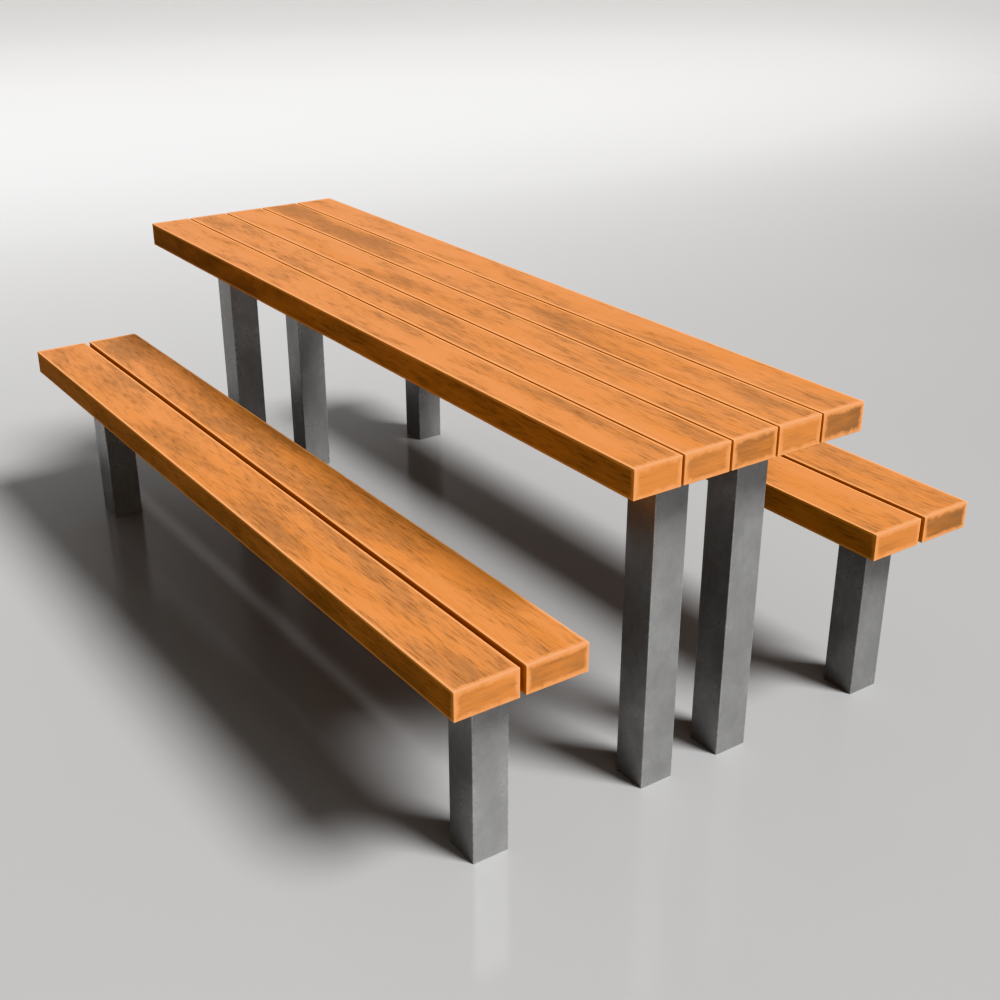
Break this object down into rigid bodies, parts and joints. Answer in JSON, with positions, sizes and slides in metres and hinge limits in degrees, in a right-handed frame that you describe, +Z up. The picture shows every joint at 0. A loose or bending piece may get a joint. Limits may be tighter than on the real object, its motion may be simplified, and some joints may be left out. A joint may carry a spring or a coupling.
{
  "type": "picnic table with bench seats",
  "caption": "Outdoor picnic table set: timber plank table top and separate plank benches on square galvanised steel posts, fixed to the ground.",
  "frame": {"origin": "on the ground under the middle of the table", "axes": "+X along the planks to the right end, +Y across the table to the rear bench, +Z up"},
  "size_m": [2.1, 1.296, 0.77],
  "materials": {
    "timber": "oiled hardwood, warm orange brown, with dark weather smudges along the grain and paler worn edges",
    "post_steel": "hot-dip galvanised, dull mid grey with cloudy patches",
    "bearer_steel": "hot-dip galvanised, dull mid grey",
    "fixing_zinc": "zinc plated, satin"
  },
  "bodies": {
    "root": {"front_bench_bearer_left": "bearer_steel", "front_bench_bearer_right": "bearer_steel", "front_bench_coach_screws": "fixing_zinc", "front_bench_foot_plate_left": "bearer_steel", "front_bench_foot_plate_right": "bearer_steel", "front_bench_mid_strap": "bearer_steel", "front_bench_plank_1": "timber", "front_bench_plank_2": "timber", "front_bench_post_left": "post_steel", "front_bench_post_right": "post_steel", "front_bench_washers": "fixing_zinc", "front_bench_weld_beads": "bearer_steel", "rear_bench_bearer_left": "bearer_steel", "rear_bench_bearer_right": "bearer_steel", "rear_bench_coach_screws": "fixing_zinc", "rear_bench_foot_plate_left": "bearer_steel", "rear_bench_foot_plate_right": "bearer_steel", "rear_bench_mid_strap": "bearer_steel", "rear_bench_plank_1": "timber", "rear_bench_plank_2": "timber", "rear_bench_post_left": "post_steel", "rear_bench_post_right": "post_steel", "rear_bench_washers": "fixing_zinc", "rear_bench_weld_beads": "bearer_steel", "table_bearer_left": "bearer_steel", "table_bearer_right": "bearer_steel", "table_coach_screws": "fixing_zinc", "table_foot_plate_front_left": "bearer_steel", "table_foot_plate_front_right": "bearer_steel", "table_foot_plate_rear_left": "bearer_steel", "table_foot_plate_rear_right": "bearer_steel", "table_mid_strap": "bearer_steel", "table_plank_1": "timber", "table_plank_2": "timber", "table_plank_3": "timber", "table_plank_4": "timber", "table_plank_5": "timber", "table_post_front_left": "post_steel", "table_post_front_right": "post_steel", "table_post_rear_left": "post_steel", "table_post_rear_right": "post_steel", "table_washers": "fixing_zinc", "table_weld_beads": "bearer_steel"}
  },
  "joints": []
}
